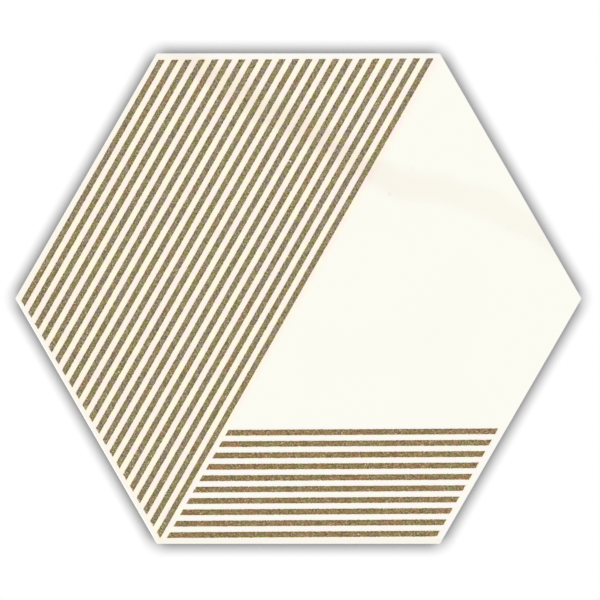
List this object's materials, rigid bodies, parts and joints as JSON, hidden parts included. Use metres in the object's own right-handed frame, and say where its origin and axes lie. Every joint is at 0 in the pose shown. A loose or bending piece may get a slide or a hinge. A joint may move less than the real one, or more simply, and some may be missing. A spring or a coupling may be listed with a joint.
{
  "type": "hexagon floor tile",
  "caption": "Regular hexagonal glazed porcelain floor tile with fired raised metallic stripes in two directions on its face and a honeycomb keying relief on its back.",
  "frame": {"origin": "middle of the back, on the plane of the keying ribs that the tile rests on", "axes": "+X towards one corner of the hexagon, +Y towards the middle of one side, +Z out of the glazed face"},
  "size_m": [0.2498, 0.2166, 0.0093],
  "materials": {
    "glazed_porcelain": "off-white satin glaze with a faint warm marble vein, pale fired body on the sides and back",
    "metallic_grit": "raised bronze-gold grit glaze, granular and slightly sparkling"
  },
  "bodies": {
    "root": {"hexagon_tile": "glazed_porcelain"}
  },
  "joints": []
}
